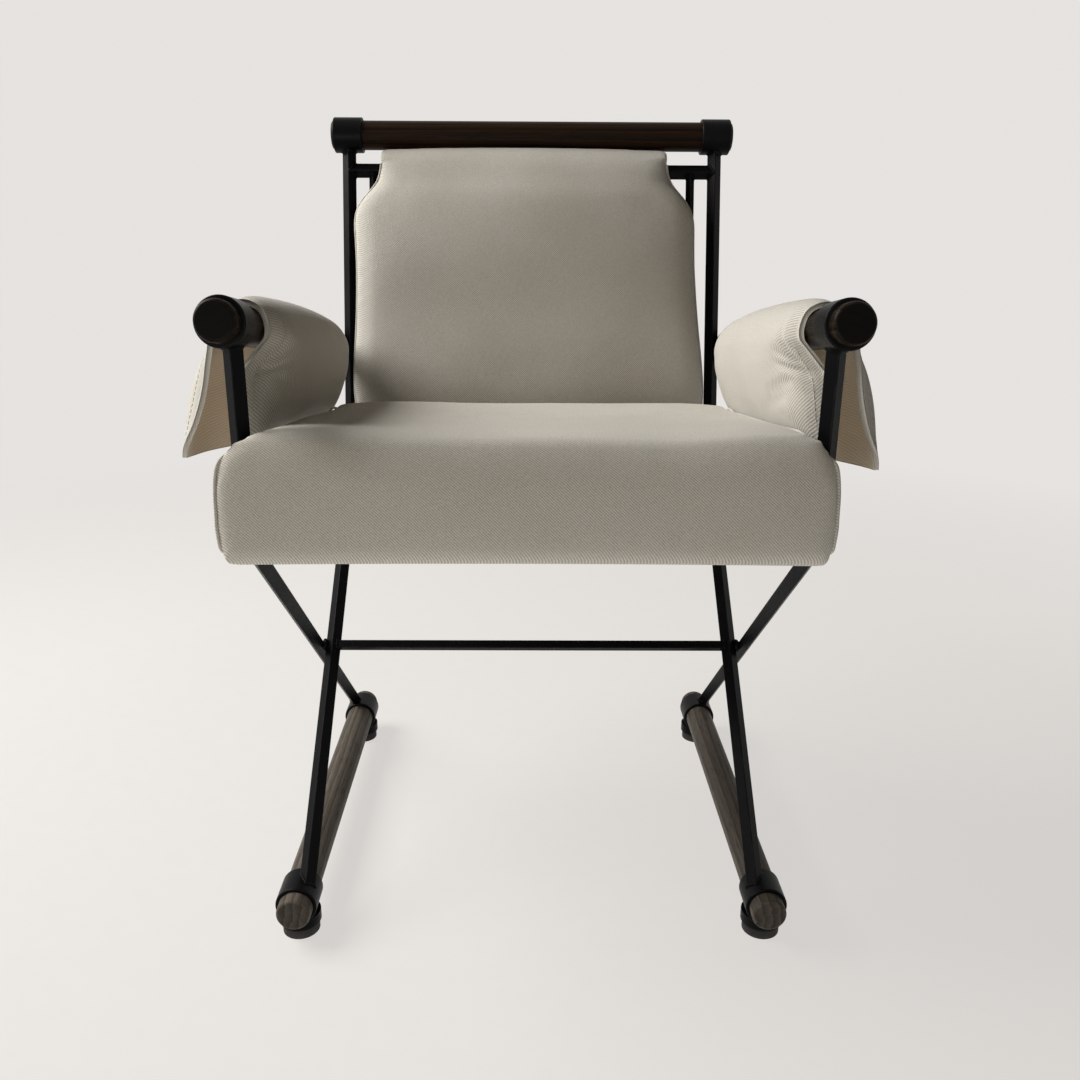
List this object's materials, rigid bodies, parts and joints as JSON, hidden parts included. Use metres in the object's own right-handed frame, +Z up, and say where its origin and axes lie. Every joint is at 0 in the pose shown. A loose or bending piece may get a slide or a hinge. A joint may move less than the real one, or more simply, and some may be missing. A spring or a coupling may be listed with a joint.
{
  "type": "upholstered armchair",
  "caption": "Crossed-leg iron armchair with wood runners, arms and top rail held in pipe collars, a loose seat cushion and folded-over back and arm pads.",
  "frame": {"origin": "on the floor under the middle of the chair's overall box", "axes": "+Z up, +X to the right of someone facing the chair, front of the chair towards -Y"},
  "size_m": [0.6344, 0.5868, 0.8336],
  "materials": {
    "iron": "satin black over wrought iron",
    "rail_wood": "dark walnut stain, satin",
    "arm_wood": "brown-black stain, satin",
    "runner_wood": "taupe-brown stain, satin",
    "upholstery": "woven oatmeal twill",
    "filling": "foam and batting",
    "glide_rubber": "matt",
    "fixings": "dull steel"
  },
  "bodies": {
    "frame": {"arm_collar_front_left": "iron", "arm_collar_front_right": "iron", "arm_collar_rear_left": "iron", "arm_collar_rear_right": "iron", "arm_dowel_left": "arm_wood", "arm_dowel_right": "arm_wood", "arm_pad_left_cover": "upholstery", "arm_pad_left_fill": "filling", "arm_pad_right_cover": "upholstery", "arm_pad_right_fill": "filling", "arm_post_left": "iron", "arm_post_right": "iron", "back_crossbar": "iron", "back_pad_cover": "upholstery", "back_pad_fill": "filling", "back_post_left": "iron", "back_post_right": "iron", "collar_pins": "fixings", "floor_runner_left": "runner_wood", "floor_runner_right": "runner_wood", "foot_glide_front_left": "glide_rubber", "foot_glide_front_right": "glide_rubber", "foot_glide_rear_left": "glide_rubber", "foot_glide_rear_right": "glide_rubber", "foot_screws": "fixings", "foot_seat_front_left": "iron", "foot_seat_front_right": "iron", "foot_seat_rear_left": "iron", "foot_seat_rear_right": "iron", "leg_stretcher": "iron", "rail_collar_left": "iron", "rail_collar_right": "iron", "runner_collar_front_left": "iron", "runner_collar_front_right": "iron", "runner_collar_rear_left": "iron", "runner_collar_rear_right": "iron", "seat_back_bar_1": "iron", "seat_back_bar_2": "iron", "seat_back_bar_3": "iron", "seat_back_bar_4": "iron", "seat_back_bar_5": "iron", "seat_front_rail": "iron", "seat_rear_rail": "iron", "top_rail": "rail_wood"},
    "seat_cushion": {"seat_cushion_cover": "upholstery", "seat_cushion_fill": "filling"}
  },
  "joints": [
    {"name": "seat_cushion_slide", "type": "slide", "parent": "frame", "child": "seat_cushion", "axis": [0, -0.9964, 0.0847], "range_m": [0, 0.42]}
  ]
}
